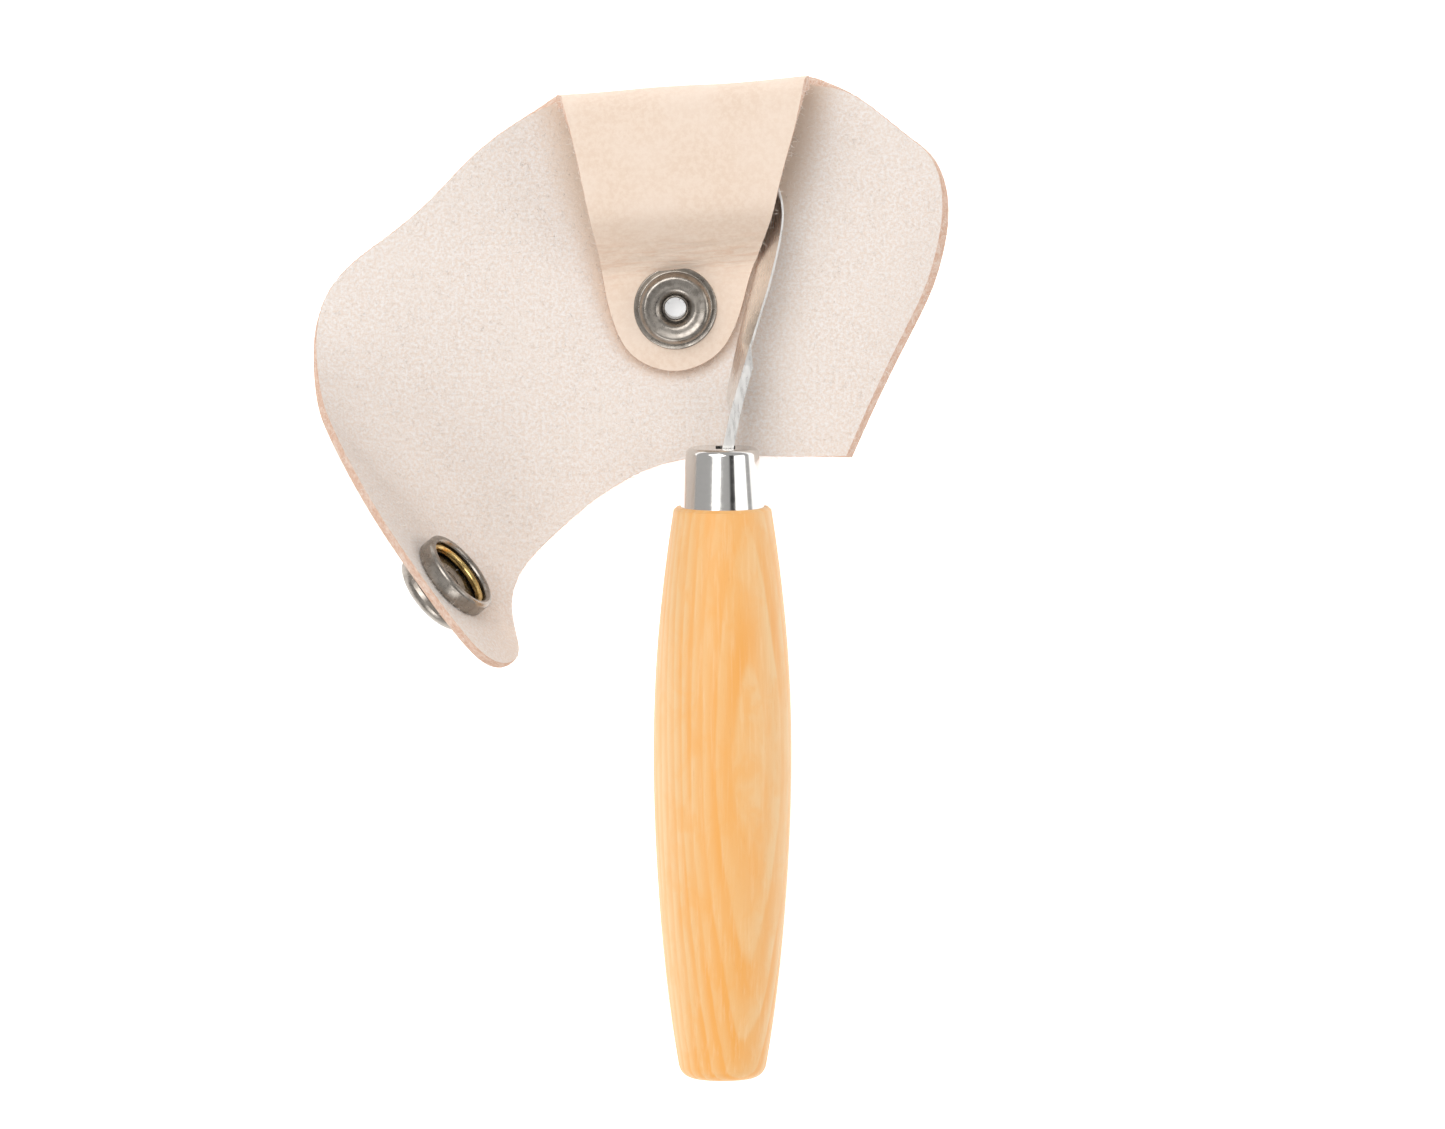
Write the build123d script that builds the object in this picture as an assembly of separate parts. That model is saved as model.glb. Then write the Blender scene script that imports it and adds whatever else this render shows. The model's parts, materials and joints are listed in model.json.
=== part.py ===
from build123d import *
import os
from math import cos, radians, sin

# A hook knife for carving spoons, lying in its opened leather snap sheath.
# Working frame: the handle's axis runs along Y at x = 0, the wooden shoulder is at y = 0,
# and the sheath's grain side and the handle's belly lie on z = 0, with +Z up.
# The finished part is shifted so that its origin is under the middle of its bounding box.

# ---- Leather sheath: one cut of leather, flesh side up, with its loop folded over at the top ----
LEATHER = 2.4
LEFT_EDGE = [
    (-28.9, 71.9), (-42.9, 61.6), (-51.8, 52.6), (-59.4, 46.3), (-65.2, 41.8), (-68.8, 37.6),
    (-71.2, 31.5), (-72.2, 22.0), (-72.9, 10.0), (-71.9, -6.0), (-67.6, -18.0), (-61.5, -30.0),
    (-55.5, -36.6), (-46.5, -34.4), (-39.8, -26.5), (-38.3, -18.3), (-36.2, -13.2), (-31.1, -7.0),
    (-23.2, 0.0),
]
BOTTOM_EDGE = [(-23.2, 0.0), (-14.5, 5.3), (-7.5, 7.5), (7.5, 8.2), (22.6, 8.1)]
RIGHT_EDGE = [
    (22.6, 8.1), (27.3, 18.2), (33.9, 31.3), (37.0, 37.8), (38.8, 43.9), (39.6, 51.0),
    (38.5, 57.3), (36.4, 61.1), (32.7, 64.2), (20.3, 73.0), (15.0, 75.2),
]
EDGE_SAMPLES = 30

# The two edges of the sheath that have rolled up: level direction, distance from the handle's
# front to the start of the roll, radius of the leather's middle, and how far it turns.
LEFT_ROLL = dict(across=(-0.764, -0.645), start=31.3, radius=12.7, turn=76.0)
RIGHT_ROLL = dict(across=(0.937, -0.349), start=8.3, radius=20.0, turn=36.0)

# The loop: the leather turns over at the top and comes back down to the stud.
FOLD_LEFT, FOLD_RIGHT = (-28.9, 71.9), (15.0, 75.2)
LOOP_HEIGHT = 17.0
FOLD_SLIT = 0.5
LOOP_TOP_END, LOOP_SLOPE_END, LOOP_TIP_END = -20.7, -31.4, -56.0
FLAP_EDGE = [
    (-29.2, 74.0), (-28.5, 71.5), (-25.9, 65.8), (-23.9, 53.5), (-21.8, 45.0), (-20.1, 35.4),
    (-18.7, 30.9), (-16.2, 26.6), (-12.5, 24.2), (-8.3, 23.4), (-4.1, 24.4), (-0.4, 27.0),
    (1.8, 30.4), (4.65, 39.8), (8.0, 50.2), (10.3, 58.8), (12.7, 67.5), (15.2, 77.0),
]

# ---- Folds that close the sheath ----
HINGE_LIFT = 0.3
LEFT_STRIP_WIDTH = 11.4
RIGHT_STRIP_WIDTH = 15.2
RIGHT_CREASE_FOOT, RIGHT_CREASE_HEAD = (11.5, 8.2), (15.6, 74.0)
LIP_CREASE_HEIGHTS = (5.9, 3.0)
LIP_CREASE_YS = (20.0, 60.0)

# ---- Ring snap, 15 mm ----
STUD_PLACE = (-8.25, 34.5)
SOCKET_ALONG_TAB = 7.35
SOCKET_ALONG_ROLL = -21.4
POST_BORE, POST_RADIUS, CAP_POST_RADIUS = 1.9, 2.4, 2.2

# ---- Knife ----
HANDLE_AXIS_HEIGHT = 10.0
HANDLE_SECTIONS = [
    (0.0, 8.5, 8.3), (-9.8, 9.9, 8.9), (-24.6, 11.4, 9.6), (-41.8, 12.1, 10.0), (-58.9, 11.75, 9.75),
    (-76.1, 10.6, 8.8), (-90.9, 8.95, 7.4), (-101.2, 7.3, 6.1),
]
HANDLE_END_ROUND = 2.9
SHOULDER_CHAMFER = 0.5
FERRULE_LENGTH, FERRULE_BASE, FERRULE_TOP, FERRULE_WALL = 10.4, 7.35, 6.3, 0.8
FERRULE_SLOT = (3.4, 6.4)
TENON_LENGTH = 6.0
SHANK_THICKNESS, SHANK_WIDTH = 1.9, 5.4
SHANK_TOP = HANDLE_AXIS_HEIGHT + SHANK_WIDTH / 2
TANG_LENGTH, TANG_TIP_WIDTH, TANG_PLAY = 62.0, 3.0, 0.05
# The shank: place (x, y), direction of travel in degrees from +X, thickness, lower edge's height and lean.
# The blade: place of the top edge, direction, height of the lower edge, and how far inward it leans.
BLADE_TOP_HEIGHT, BLADE_EDGE_THICKNESS, BLADE_DISH = 13.0, 0.35, 0.7
HOOK_CENTRE, HOOK_RADIUS = (-1.4, 51.6), 11.9
HOOK_ANGLES = [0, 25, 50, 75, 100, 125, 147]
SHANK_RUN = [
    (0.0, TENON_LENGTH, 85.0, 1.9, 7.3, 0.0), (0.95, 10.4, 79.0, 1.9, 7.3, 0.0),
    (2.2, 16.4, 76.0, 1.8, 7.3, 0.0),
    (2.7, 18.4, 76.0, 1.75, 6.3, 1.3), (4.55, 24.9, 74.0, 1.6, 5.7, 1.9),
]
BLADE_RUN = [
    (4.8, 28.2, 72.0, 5.5, 2.1), (5.9, 31.7, 73.0, 5.4, 2.3), (7.0, 35.2, 74.5, 5.3, 2.5),
    (8.0, 38.5, 76.0, 5.2, 2.7), (9.6, 45.0, 83.0, 4.3, 2.85),
]
HOOK_LEAN = 3.0

UP = Vector(0, 0, 1)
BIG = 400.0


def level(x, y, z=0.0):
    return Vector(x, y, z)


class Roll:
    """An edge of the sheath that has rolled up out of the flat."""

    def __init__(self, across, start, radius, turn):
        self.across = level(*across).normalized()
        self.along = self.across.cross(UP)
        self.start, self.radius, self.turn = start, radius, turn

    def bent(self, point, height=LEATHER / 2):
        """Where a point of the flat leather goes, HEIGHT being its distance above the grain side."""
        point = level(*point)
        past = point.dot(self.across) - self.start
        lift = height - LEATHER / 2
        if past <= 0:
            return point + UP * height
        angle = min(past / self.radius, radians(self.turn))
        straight = past - self.radius * angle
        reach = self.radius * sin(angle) + straight * cos(angle) - lift * sin(angle)
        rise = self.radius * (1 - cos(angle)) + straight * sin(angle) + lift * cos(angle)
        return point + self.across * (reach - past) + UP * (LEATHER / 2 + rise)

    def normal(self, tilt):
        """The way the flesh side faces where the leather is turned by TILT degrees."""
        return UP * cos(radians(tilt)) - self.across * sin(radians(tilt))

    def section_plane(self):
        """A plane square to the roll, with its origin on the roll's axis and its y upward."""
        origin = self.across * self.start + UP * (LEATHER / 2 + self.radius)
        return Plane(origin=origin, x_dir=self.across, z_dir=self.along)

    def slab(self, section):
        return extrude(self.section_plane() * section, amount=BIG / 2, both=True)

    def flat_part(self):
        """The flat leather before the roll starts."""
        bottom = -self.radius - LEATHER / 2
        return self.slab(Polygon((-BIG / 2, bottom), (0, bottom), (0, bottom + LEATHER),
                                 (-BIG / 2, bottom + LEATHER), align=None))

    def arc_part(self, first, last):
        """The rolled leather between two angles, in degrees."""
        outer, inner = self.radius + LEATHER / 2, self.radius - LEATHER / 2

        def at(radius, angle):
            return radius * sin(radians(angle)), -radius * cos(radians(angle))

        middle = (first + last) / 2
        rim = ThreePointArc(at(outer, first), at(outer, middle), at(outer, last))
        rim += Line(at(outer, last), at(inner, last))
        rim += ThreePointArc(at(inner, last), at(inner, middle), at(inner, first))
        rim += Line(at(inner, first), at(outer, first))
        return self.slab(make_face(rim))

    def end_part(self, length):
        """The straight leather past the end of the roll."""
        turn = radians(self.turn)
        outer, inner = self.radius + LEATHER / 2, self.radius - LEATHER / 2
        along = (cos(turn) * length, sin(turn) * length)
        low, high = (outer * sin(turn), -outer * cos(turn)), (inner * sin(turn), -inner * cos(turn))
        return self.slab(Polygon(low, (low[0] + along[0], low[1] + along[1]),
                                 (high[0] + along[0], high[1] + along[1]), high, align=None))

    def outline(self, edge, closing, tilt):
        """A prism, square to the leather at TILT, with the leather's outline as it lies rolled."""
        view = Plane(origin=(0, 0, 0), x_dir=self.along, z_dir=self.normal(tilt))
        curve = Spline(*edge)
        samples = [curve.position_at(i / EDGE_SAMPLES) for i in range(EDGE_SAMPLES + 1)]

        def seen(point):
            local = view.to_local_coords(self.bent((point[0], point[1])))
            return local.X, local.Y

        rim = Spline(*[seen((p.X, p.Y)) for p in samples])
        rim += Polyline(seen(edge[-1]), *[seen(p) for p in closing], seen(edge[0]))
        return extrude(view * make_face(rim), amount=BIG / 2, both=True)


class Crease:
    """A straight fold line, with the moving leather on its outer side."""

    def __init__(self, point, outward):
        self.point, self.outward = point, outward.normalized()

    def outside(self):
        plane = Plane(origin=(self.point.X, self.point.Y, 0), x_dir=self.outward, z_dir=UP)
        return plane * Box(BIG, BIG, BIG, align=(Align.MIN, Align.CENTER, Align.CENTER))

    def moved_outward(self, distance):
        return Crease(self.point + self.outward * distance, self.outward)


left_roll = Roll(**LEFT_ROLL)
right_roll = Roll(**RIGHT_ROLL)


def tab_pivot():
    """The tab's hinge: just outside the grain side, half way round the left roll."""
    middle = radians(left_roll.turn / 2)
    reach = left_roll.radius + LEATHER / 2 + HINGE_LIFT
    return (left_roll.across * (left_roll.start + reach * sin(middle))
            + UP * (LEATHER / 2 + left_roll.radius - reach * cos(middle)))


def socket_in_flat():
    """The socket's place on the unrolled leather."""
    past = left_roll.start + left_roll.radius * radians(left_roll.turn) + SOCKET_ALONG_TAB
    return left_roll.across * past - left_roll.along * SOCKET_ALONG_ROLL


def socket_when_straight():
    """The socket's level place once the tab has been straightened about its hinge."""
    pivot, socket = tab_pivot(), left_roll.bent((socket_in_flat().X, socket_in_flat().Y))
    out = (socket - pivot).dot(left_roll.across)
    up = (socket - pivot).dot(UP)
    turn = radians(left_roll.turn)
    straight = pivot.dot(left_roll.across) + out * cos(turn) + up * sin(turn)
    return left_roll.across * straight - left_roll.along * SOCKET_ALONG_ROLL


# The left wing folds about the line half way between the socket and the stud that it snaps onto.
stud = level(*STUD_PLACE)
half_way = (stud + socket_when_straight()) * 0.5
left_out = (socket_when_straight() - stud).normalized()
left_crease = Crease(half_way - left_out * (LEFT_STRIP_WIDTH / 2), left_out)
wing_crease = left_crease.moved_outward(LEFT_STRIP_WIDTH)
crease_run = level(*RIGHT_CREASE_HEAD) - level(*RIGHT_CREASE_FOOT)
right_crease = Crease(level(*RIGHT_CREASE_FOOT), level(crease_run.Y, -crease_run.X))
lip_crease = right_crease.moved_outward(RIGHT_STRIP_WIDTH)

lip_head = lip_crease.point + crease_run.normalized() * (LIP_CREASE_YS[1] - lip_crease.point.Y)
lip_foot = lip_crease.point + crease_run.normalized() * (LIP_CREASE_YS[0] - lip_crease.point.Y)
lip_foot, lip_head = lip_foot + UP * LIP_CREASE_HEIGHTS[0], lip_head + UP * LIP_CREASE_HEIGHTS[1]

socket_flat = socket_in_flat()
socket_ground = left_roll.bent((socket_flat.X, socket_flat.Y), LEATHER)
socket_plane = Plane(origin=socket_ground, x_dir=left_roll.along, z_dir=left_roll.normal(left_roll.turn))


def turned(profile):
    """A closed profile of (radius, height) points turned about +Z."""
    return revolve(Plane.XZ * make_face(Polyline(*profile, close=True)), Axis.Z)


def on_stud(solid):
    return Pos(stud.X, stud.Y, 0) * solid


def flat_sheet():
    rim = Spline(*LEFT_EDGE) + Spline(*BOTTOM_EDGE) + Spline(*RIGHT_EDGE)
    rim += Line(RIGHT_EDGE[-1], LEFT_EDGE[0])
    return extrude(make_face(rim), amount=LEATHER)


def fold_plane():
    """A plane square to the top fold: x points past the fold, y is up."""
    run = level(*FOLD_RIGHT) - level(*FOLD_LEFT)
    run = run.normalized()
    return Plane(origin=(*FOLD_LEFT, 0), x_dir=level(-run.Y, run.X), z_dir=run)


def loop_flap():
    """The leather that turns over at the top, slopes down and lies on the panel under the stud."""
    outer = LOOP_HEIGHT / 2
    inner = outer - LEATHER
    section = ThreePointArc((-outer, 0), (0, outer), (-outer, LOOP_HEIGHT))
    section += Polyline((-outer, LOOP_HEIGHT), (LOOP_TOP_END, LOOP_HEIGHT), (LOOP_SLOPE_END, 2 * LEATHER),
                        (LOOP_TIP_END, 2 * LEATHER), (LOOP_TIP_END, LEATHER), (LOOP_SLOPE_END + 1, LEATHER),
                        (LOOP_TOP_END + 1, LOOP_HEIGHT - LEATHER), (-outer, LOOP_HEIGHT - LEATHER))
    section += ThreePointArc((-outer, LOOP_HEIGHT - LEATHER), (-outer + inner, outer), (-outer, LEATHER))
    section += Line((-outer, LEATHER), (-outer, 0))
    band = extrude(fold_plane() * make_face(section), amount=BIG / 2, both=True)
    rim = Spline(*FLAP_EDGE) + Line(FLAP_EDGE[-1], FLAP_EDGE[0])
    flap = band & extrude(make_face(rim), amount=2 * LOOP_HEIGHT, both=True)
    return flap - on_stud(Cylinder(POST_RADIUS, BIG))


def back_panel():
    """The flat middle of the sheath, between the folds."""
    sheet = flat_sheet() - left_crease.outside() - right_crease.outside()
    fold_length = (level(*FOLD_RIGHT) - level(*FOLD_LEFT)).length
    past_fold = fold_plane() * Pos(-LOOP_HEIGHT / 2, 0, -FOLD_SLIT) * Box(
        BIG, BIG, fold_length + BIG, align=(Align.MIN, Align.CENTER, Align.MIN))
    sheet -= past_fold
    recess = Cylinder(5.2, 0.6, align=(Align.CENTER, Align.CENTER, Align.MIN))
    return sheet - on_stud(Cylinder(POST_RADIUS, BIG)) - on_stud(recess)


def left_strip():
    return (flat_sheet() & left_crease.outside()) - wing_crease.outside()


LEFT_CLOSING = [(-10.0, 20.0), (-10.0, 72.0)]
RIGHT_CLOSING = [(-5.0, 75.0), (-5.0, 8.1)]


def left_wing():
    """The left wing up to the middle of its roll."""
    half = left_roll.turn / 2
    flat = left_roll.flat_part() & left_roll.outline(LEFT_EDGE, LEFT_CLOSING, 0)
    rolled = left_roll.arc_part(0, half) & left_roll.outline(LEFT_EDGE, LEFT_CLOSING, half / 2)
    return (flat & wing_crease.outside()) + (rolled & wing_crease.outside())


def snap_tab():
    """The rest of the roll and the rounded tab that carries the snap's socket."""
    turn = left_roll.turn
    rolled = left_roll.arc_part(turn / 2, turn) & left_roll.outline(LEFT_EDGE, LEFT_CLOSING, 0.75 * turn)
    straight = left_roll.end_part(60.0) & left_roll.outline(LEFT_EDGE, LEFT_CLOSING, turn)
    return rolled + straight - socket_plane * Cylinder(CAP_POST_RADIUS, 6 * LEATHER)


def right_sheet():
    flat = right_roll.flat_part() & right_roll.outline(RIGHT_EDGE, RIGHT_CLOSING, 0)
    rolled = right_roll.arc_part(0, right_roll.turn) & right_roll.outline(
        RIGHT_EDGE, RIGHT_CLOSING, right_roll.turn / 2)
    return (flat + rolled) & right_crease.outside()


def stud_post():
    """The hollow rivet that holds the stud, the flap and the panel together."""
    return on_stud(turned([(POST_BORE, 0), (5.2, 0), (5.2, 0.6), (POST_RADIUS, 0.6), (POST_RADIUS, 6.0),
                           (2.3, 6.2), (2.05, 6.25), (POST_BORE, 6.1)]))


def snap_stud():
    """The drawn stud: a flange on the leather and a hollow dome that turns down into its mouth."""
    rim = Line((POST_RADIUS, 4.8), (7.1, 4.8)) + ThreePointArc((7.1, 4.8), (7.3, 5.05), (7.1, 5.3))
    rim += Line((7.1, 5.3), (6.5, 5.2)) + ThreePointArc((6.5, 5.2), (6.26, 5.28), (6.2, 5.5))
    rim += Spline((6.2, 5.5), (6.2, 7.3), (5.45, 8.3), (4.4, 8.2), (3.3, 8.1), (2.55, 7.4), (2.45, 6.3),
                  tangents=[(0, 1), (0, -1)])
    rim += Polyline((2.45, 6.3), (2.85, 6.3), (3.1, 7.4), (3.7, 7.7), (5.2, 7.8), (5.65, 7.2), (5.65, 5.3),
                    (POST_RADIUS, 5.3), (POST_RADIUS, 4.8))
    return on_stud(revolve(Plane.XZ * make_face(rim), Axis.Z))


def socket_shell():
    """The socket's body: a base on the flesh side and a rolled channel for the ring spring."""
    rim = Line((CAP_POST_RADIUS, 0), (7.3, 0)) + ThreePointArc((7.3, 0), (7.62, 0.13), (7.75, 0.45))
    rim += Line((7.75, 0.45), (7.75, 2.35)) + ThreePointArc((7.75, 2.35), (7.05, 3.25), (6.35, 2.6))
    rim += Polyline((6.35, 2.6), (6.7, 2.45), (6.95, 2.75), (7.3, 2.4), (7.3, 0.7), (7.0, 0.5),
                    (CAP_POST_RADIUS, 0.5), (CAP_POST_RADIUS, 0))
    return socket_plane * revolve(Plane.XZ * make_face(rim), Axis.Z)


def socket_spring():
    """The split wire ring that snaps over the stud."""
    wire = Plane.XZ * Pos(6.3, 1.45) * Circle(0.75)
    return socket_plane * Rot(0, 0, 60) * revolve(wire, Axis.Z, revolution_arc=346)


def cap_shell():
    """The domed cap on the tab's grain side."""
    rim = Spline((0, -6.0), (4.2, -5.7), (6.9, -4.7), (7.9, -3.1), tangents=[(1, 0), (0, 1)])
    rim += Polyline((7.9, -3.1), (7.7, -2.4), (7.2, -2.4), (7.2, -3.1))
    rim += Spline((7.2, -3.1), (6.4, -4.2), (4.0, -5.15), (0, -5.5), tangents=[(0, -1), (-1, 0)])
    rim += Line((0, -5.5), (0, -6.0))
    return socket_plane * revolve(Plane.XZ * make_face(rim), Axis.Z)


def cap_post():
    """The tubular rivet that joins the cap, the tab and the socket."""
    return socket_plane * turned([
        (1.6, -3.0), (5.0, -3.0), (5.0, -2.4), (CAP_POST_RADIUS, -2.4), (CAP_POST_RADIUS, 0.5),
        (3.2, 0.55), (3.2, 0.85), (1.6, 0.7)])


def across_handle(y):
    return Plane(origin=(0, y, HANDLE_AXIS_HEIGHT), x_dir=(1, 0, 0), z_dir=(0, 1, 0))


def ferrule_radius(y, inset=0.0):
    return FERRULE_BASE + (FERRULE_TOP - FERRULE_BASE) * y / FERRULE_LENGTH - inset


def tang(play=0.0):
    """The straight tang, narrowing towards its tip inside the handle."""
    root = across_handle(TENON_LENGTH) * Rectangle(SHANK_THICKNESS + 2 * play, SHANK_WIDTH + 2 * play)
    tip = across_handle(-TANG_LENGTH - play) * Rectangle(
        SHANK_THICKNESS + 2 * play, TANG_TIP_WIDTH + 2 * play)
    return loft([tip, root])


def handle():
    """The oiled birch handle with its tenon for the ferrule and the hole for the tang."""
    rings = [across_handle(y) * Ellipse(wide, thick) for y, wide, thick in HANDLE_SECTIONS]
    grip = loft(rings)
    grip = fillet(grip.edges().sort_by(Axis.Y)[0], HANDLE_END_ROUND)
    grip = chamfer(grip.edges().sort_by(Axis.Y)[-1], SHOULDER_CHAMFER)
    tenon = loft([across_handle(y) * Circle(ferrule_radius(y, FERRULE_WALL)) for y in (0.0, TENON_LENGTH)])
    return grip + tenon - tang(TANG_PLAY)


def ferrule():
    """The tapered steel ferrule, closed at its front but for the shank's slot."""
    rim_round = 1.1
    shell = loft([across_handle(y) * Circle(ferrule_radius(y)) for y in (0.0, FERRULE_LENGTH)])
    shell = fillet(shell.edges().sort_by(Axis.Y)[-1], rim_round)
    hollow_end = FERRULE_LENGTH - 1.4
    shell -= loft([across_handle(y) * Circle(ferrule_radius(y, FERRULE_WALL)) for y in (0.0, hollow_end)])
    slot = across_handle(FERRULE_LENGTH) * Pos(0.5, 0, 0) * Box(*FERRULE_SLOT, 4.0)
    return shell - slot


def blade_section(top, heading, top_height, low_height, lean, edge):
    """A six-cornered section, square to the blade's run and EDGE thick at both edges."""
    travel = level(cos(radians(heading)), sin(radians(heading)))
    plane = Plane(origin=(*top, 0), x_dir=UP.cross(travel), z_dir=travel)
    middle = (top_height + low_height) / 2
    half, dish = SHANK_THICKNESS / 2, BLADE_DISH * lean / HOOK_LEAN
    centre = lean / 2 - dish
    return plane * Polygon(
        (-edge / 2, top_height), (centre - half, middle), (lean - edge / 2, low_height),
        (lean + edge / 2, low_height), (centre + half, middle), (edge / 2, top_height), align=None)


def blade():
    """The shank and tang with the dished, double-edged hook forged to their end."""
    run = [blade_section((x, y), heading, SHANK_TOP, low, lean, thick)
           for x, y, heading, thick, low, lean in SHANK_RUN]
    sections = [blade_section((x, y), heading, BLADE_TOP_HEIGHT, low, lean, BLADE_EDGE_THICKNESS)
                for x, y, heading, low, lean in BLADE_RUN]
    neck = loft([run[-1], sections[0]], ruled=True)
    for angle in HOOK_ANGLES:
        turn = radians(angle)
        place = (HOOK_CENTRE[0] + HOOK_RADIUS * cos(turn), HOOK_CENTRE[1] + HOOK_RADIUS * sin(turn))
        sections.append(blade_section(place, angle + 90, BLADE_TOP_HEIGHT, 3.2, HOOK_LEAN,
                                      BLADE_EDGE_THICKNESS))
    tip_turn = radians(170)
    tip = (HOOK_CENTRE[0] + HOOK_RADIUS * cos(tip_turn), HOOK_CENTRE[1] + HOOK_RADIUS * sin(tip_turn))
    sections.append(blade_section(tip, 260, 11.0, 9.6, 0.6, BLADE_EDGE_THICKNESS))
    return loft(run, ruled=True) + neck + loft(sections) + tang()


def nodes():
    """Every node in the working frame, by name."""
    sheet = right_sheet()
    return {
        "back_panel": back_panel(),
        "loop_flap": loop_flap(),
        "left_strip": left_strip(),
        "left_wing": left_wing(),
        "snap_tab": snap_tab(),
        "right_strip": sheet - lip_crease.outside(),
        "right_lip": sheet & lip_crease.outside(),
        "stud_post": stud_post(),
        "snap_stud": snap_stud(),
        "socket_shell": socket_shell(),
        "socket_spring": socket_spring(),
        "cap_shell": cap_shell(),
        "cap_post": cap_post(),
        "handle": handle(),
        "ferrule": ferrule(),
        "blade": blade(),
    }


working = nodes()
boxes = [solid.bounding_box() for solid in working.values()]
low_x, high_x = min(b.min.X for b in boxes), max(b.max.X for b in boxes)
low_y, high_y = min(b.min.Y for b in boxes), max(b.max.Y for b in boxes)
origin = level((low_x + high_x) / 2, (low_y + high_y) / 2, min(b.min.Z for b in boxes))
parts = {name: Pos(-origin) * solid for name, solid in working.items()}

os.makedirs("parts", exist_ok=True)
for name, solid in parts.items():
    export_step(solid, f"parts/{name}.step")
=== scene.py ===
"""Looks of a hook knife lying in its opened leather snap sheath, laid out as a Blender add-on."""

import json
import math

import bpy
import numpy as np
from bpy.props import FloatProperty, FloatVectorProperty, IntProperty, PointerProperty
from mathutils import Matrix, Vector, geometry, noise

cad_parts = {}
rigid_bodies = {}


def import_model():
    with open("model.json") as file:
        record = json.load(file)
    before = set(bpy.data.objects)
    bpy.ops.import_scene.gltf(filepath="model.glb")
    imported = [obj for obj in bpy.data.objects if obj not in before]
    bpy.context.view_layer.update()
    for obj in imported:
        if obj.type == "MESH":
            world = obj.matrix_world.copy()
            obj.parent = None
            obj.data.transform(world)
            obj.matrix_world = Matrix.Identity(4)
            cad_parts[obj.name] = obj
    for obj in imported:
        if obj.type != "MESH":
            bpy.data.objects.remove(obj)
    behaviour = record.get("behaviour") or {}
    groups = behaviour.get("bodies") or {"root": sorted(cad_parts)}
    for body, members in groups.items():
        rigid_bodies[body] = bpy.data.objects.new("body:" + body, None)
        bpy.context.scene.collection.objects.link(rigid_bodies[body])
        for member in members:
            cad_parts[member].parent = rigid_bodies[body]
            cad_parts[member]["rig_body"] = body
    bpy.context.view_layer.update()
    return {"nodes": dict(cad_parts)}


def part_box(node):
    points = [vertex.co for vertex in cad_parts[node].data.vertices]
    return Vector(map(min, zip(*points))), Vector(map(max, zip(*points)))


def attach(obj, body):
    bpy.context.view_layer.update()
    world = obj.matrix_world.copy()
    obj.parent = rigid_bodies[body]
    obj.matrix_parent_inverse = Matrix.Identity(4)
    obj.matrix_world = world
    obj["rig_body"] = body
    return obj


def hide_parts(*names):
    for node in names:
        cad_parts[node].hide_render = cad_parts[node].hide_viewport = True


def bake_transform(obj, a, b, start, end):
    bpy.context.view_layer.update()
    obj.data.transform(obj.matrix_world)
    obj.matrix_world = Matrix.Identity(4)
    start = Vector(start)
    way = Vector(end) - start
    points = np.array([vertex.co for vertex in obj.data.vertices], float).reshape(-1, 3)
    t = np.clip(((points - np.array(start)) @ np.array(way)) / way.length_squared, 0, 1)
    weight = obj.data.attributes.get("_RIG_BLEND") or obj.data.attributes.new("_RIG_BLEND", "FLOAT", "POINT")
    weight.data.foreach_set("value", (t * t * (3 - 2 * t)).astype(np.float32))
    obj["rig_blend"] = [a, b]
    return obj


bl_info = {
    "name": "Hook knife in its sheath",
    "version": (1, 0, 0),
    "blender": (4, 5, 0),
    "location": "View3D > Sidebar > Hook knife",
    "description": "Builds the leather, wood and metal of a hook knife in an opened snap sheath",
    "category": "Object",
}

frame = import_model()
MM = 0.001

# ---------------------------------------------------------------- the sheath's layout, in millimetres
# x runs across the handle, y along it from the wooden shoulder, and z is up from the grain side.

LEATHER = 2.4
LEFT_EDGE = [
    (-28.6, 71.2), (-42.9, 61.6), (-51.8, 52.6), (-59.4, 46.3), (-65.2, 41.8), (-68.8, 37.6),
    (-71.2, 31.5), (-72.2, 22.0), (-72.9, 10.0), (-71.9, -6.0), (-67.6, -18.0), (-61.5, -30.0),
    (-55.5, -36.6), (-46.5, -34.4), (-39.8, -26.5), (-38.3, -18.3), (-36.2, -13.2), (-31.1, -7.0),
    (-23.2, 0.0),
]
BOTTOM_EDGE = [(-23.2, 0.0), (-14.5, 5.3), (-7.5, 7.5), (7.5, 8.2), (22.6, 8.1)]
RIGHT_EDGE = [
    (22.6, 8.1), (27.3, 18.2), (33.9, 31.3), (37.0, 37.8), (38.8, 43.9), (39.6, 51.0),
    (38.5, 57.3), (36.4, 61.1), (32.7, 64.2), (20.3, 72.8), (15.1, 74.2),
]
FLAP_EDGE = [
    (-29.2, 74.0), (-28.3, 71.5), (-26.4, 65.8), (-24.9, 59.6), (-23.5, 53.0), (-21.7, 45.0), (-20.1, 35.4),
    (-18.7, 30.9), (-16.2, 26.6), (-12.5, 24.2), (-8.3, 23.4), (-4.1, 24.4), (-0.4, 27.0),
    (1.8, 30.4), (4.65, 39.8), (8.0, 50.2), (10.3, 58.8), (12.7, 67.5), (15.2, 77.0),
]
LEFT_ROLL = {"across": (-0.764, -0.645), "start": 31.3, "radius": 12.7, "turn": 76.0}
RIGHT_ROLL = {"across": (0.937, -0.349), "start": 8.3, "radius": 20.0, "turn": 36.0}
FOLD_LEFT, FOLD_RIGHT = np.array((-28.9, 71.9)), np.array((15.0, 75.2))
LOOP_HEIGHT = 17.0
LOOP_TOP_END, LOOP_SLOPE_END = -20.7, -31.4
LEFT_CREASE, LEFT_OUT = np.array((-28.6815, 11.5752)), np.array((-0.665344, -0.746537))
RIGHT_CREASE, RIGHT_OUT = np.array((11.5, 8.2)), np.array((0.998064, -0.062189))
LEFT_STRIP, RIGHT_STRIP = 11.4, 15.2
STUD, STUD_FOOT = np.array((-8.25, 34.5)), 4.8
POST_RADIUS = 2.4
FLESH, GRAIN, CUT = 0, 1, 2

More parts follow.
